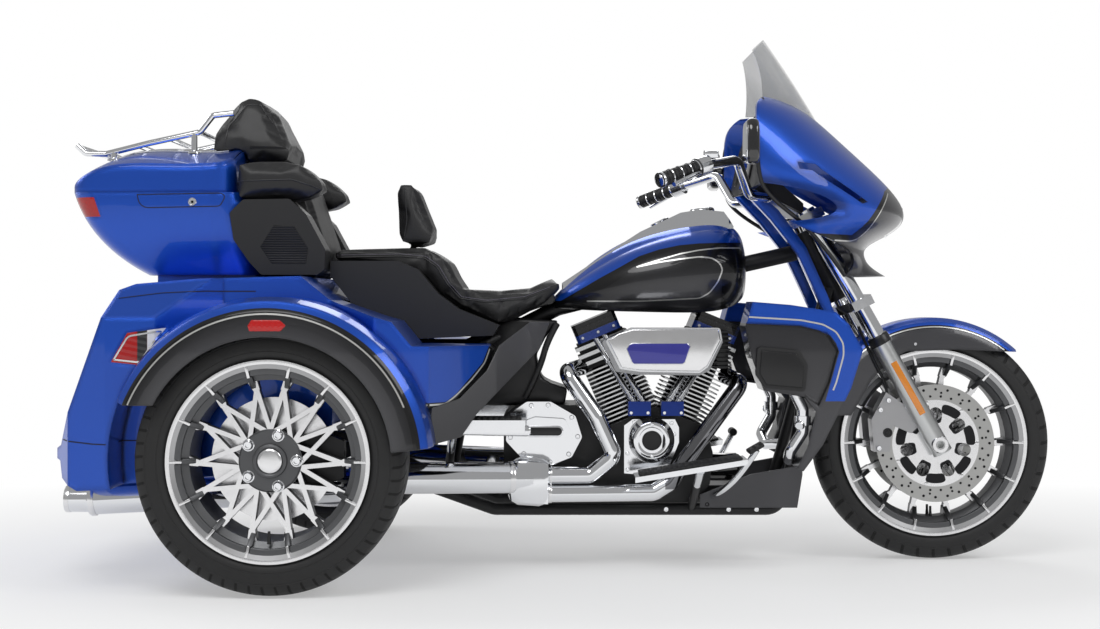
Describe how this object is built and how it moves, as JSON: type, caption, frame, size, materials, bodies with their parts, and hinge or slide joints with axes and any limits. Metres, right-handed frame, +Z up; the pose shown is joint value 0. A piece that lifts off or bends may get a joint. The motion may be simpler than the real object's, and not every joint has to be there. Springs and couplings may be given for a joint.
{
  "type": "three-wheeled touring motorcycle",
  "caption": "Motorized trike with steered front wheel, V-twin engine, two rear wheels, hollow trunk and a hinged top case.",
  "frame": {"origin": "on the ground under the centre of the bounding box", "axes": "+X forward, +Y to the rider's left, +Z up"},
  "size_m": [2.6405, 1.4, 1.431],
  "materials": {
    "blue_paint": "metallic gloss",
    "charcoal_paint": "satin metallic",
    "two_tone_paint": "metallic gloss over charcoal",
    "chrome": "bright",
    "polished_alloy": "polished",
    "machined_alloy": "machined and satin grey",
    "black_metal": "semi gloss",
    "black_plastic": "satin",
    "brake_steel": "ground",
    "tyre": "matte",
    "leather": "satin grained",
    "smoke_screen": "smoke tint",
    "red_lens": "gloss",
    "clear_lens": "gloss"
  },
  "bodies": {
    "chassis": {"frame": "black_metal", "rear_axle": "black_metal", "crankcase": "black_metal", "cylinders": "black_metal", "rocker_covers": "black_metal", "pushrods": "chrome", "engine_covers": "chrome", "air_cleaner": "chrome", "exhaust": "chrome", "fuel_tank": "two_tone_paint", "tank_console": "chrome", "rear_body": "blue_paint", "rear_fenders": "two_tone_paint", "side_covers": "charcoal_paint", "seat": "leather", "seat_valance": "black_plastic", "rider_backrest": "leather", "tour_pack_base": "blue_paint", "passenger_cushions": "leather", "speaker_pods": "black_plastic", "rear_lamps": "red_lens", "lower_fairings": "two_tone_paint", "engine_guard": "chrome", "chin_spoiler": "charcoal_paint", "footboards": "chrome"},
    "trunk_door": {"trunk_door": "blue_paint"},
    "tour_pack_lid": {"tour_pack_lid": "blue_paint", "luggage_rack": "chrome", "passenger_backrest": "leather"},
    "steering": {"fork": "polished_alloy", "fork_covers": "blue_paint", "front_fender": "two_tone_paint", "fairing": "two_tone_paint", "fairing_dash": "black_plastic", "headlamp": "clear_lens", "windshield": "smoke_screen", "handlebar": "chrome", "hand_controls": "black_plastic", "mirrors": "black_plastic", "front_calipers": "polished_alloy"},
    "front_wheel": {"front_rim": "machined_alloy", "front_tyre": "tyre", "front_discs": "brake_steel"},
    "rear_wheel_right": {"rear_rim_right": "machined_alloy", "rear_tyre_right": "tyre"},
    "rear_wheel_left": {"rear_rim_left": "machined_alloy", "rear_tyre_left": "tyre"}
  },
  "joints": [
    {"name": "steering_turn", "type": "hinge", "parent": "chassis", "child": "steering", "pos_m": [0.70981, 0, 0.8], "axis": [-0.4384, 0, 0.8988], "range_deg": [-35, 35]},
    {"name": "front_wheel_spin", "type": "hinge", "parent": "steering", "child": "front_wheel", "pos_m": [1, 0, 0.322], "axis": [0, 1, 0], "continuous": true},
    {"name": "rear_wheel_right_spin", "type": "hinge", "parent": "chassis", "child": "rear_wheel_right", "pos_m": [-0.72, -0.5575, 0.326], "axis": [0, 1, 0], "continuous": true},
    {"name": "rear_wheel_left_spin", "type": "hinge", "parent": "chassis", "child": "rear_wheel_left", "pos_m": [-0.72, 0.5575, 0.326], "axis": [0, 1, 0], "continuous": true},
    {"name": "tour_pack_lid_hinge", "type": "hinge", "parent": "chassis", "child": "tour_pack_lid", "pos_m": [-1.08, 0.309, 0.992], "axis": [-1, 0, 0], "range_deg": [0, 80]},
    {"name": "trunk_door_hinge", "type": "hinge", "parent": "chassis", "child": "trunk_door", "pos_m": [-1.23223, 0, 0.37108], "axis": [0, -1, 0], "range_deg": [0, 85]}
  ]
}
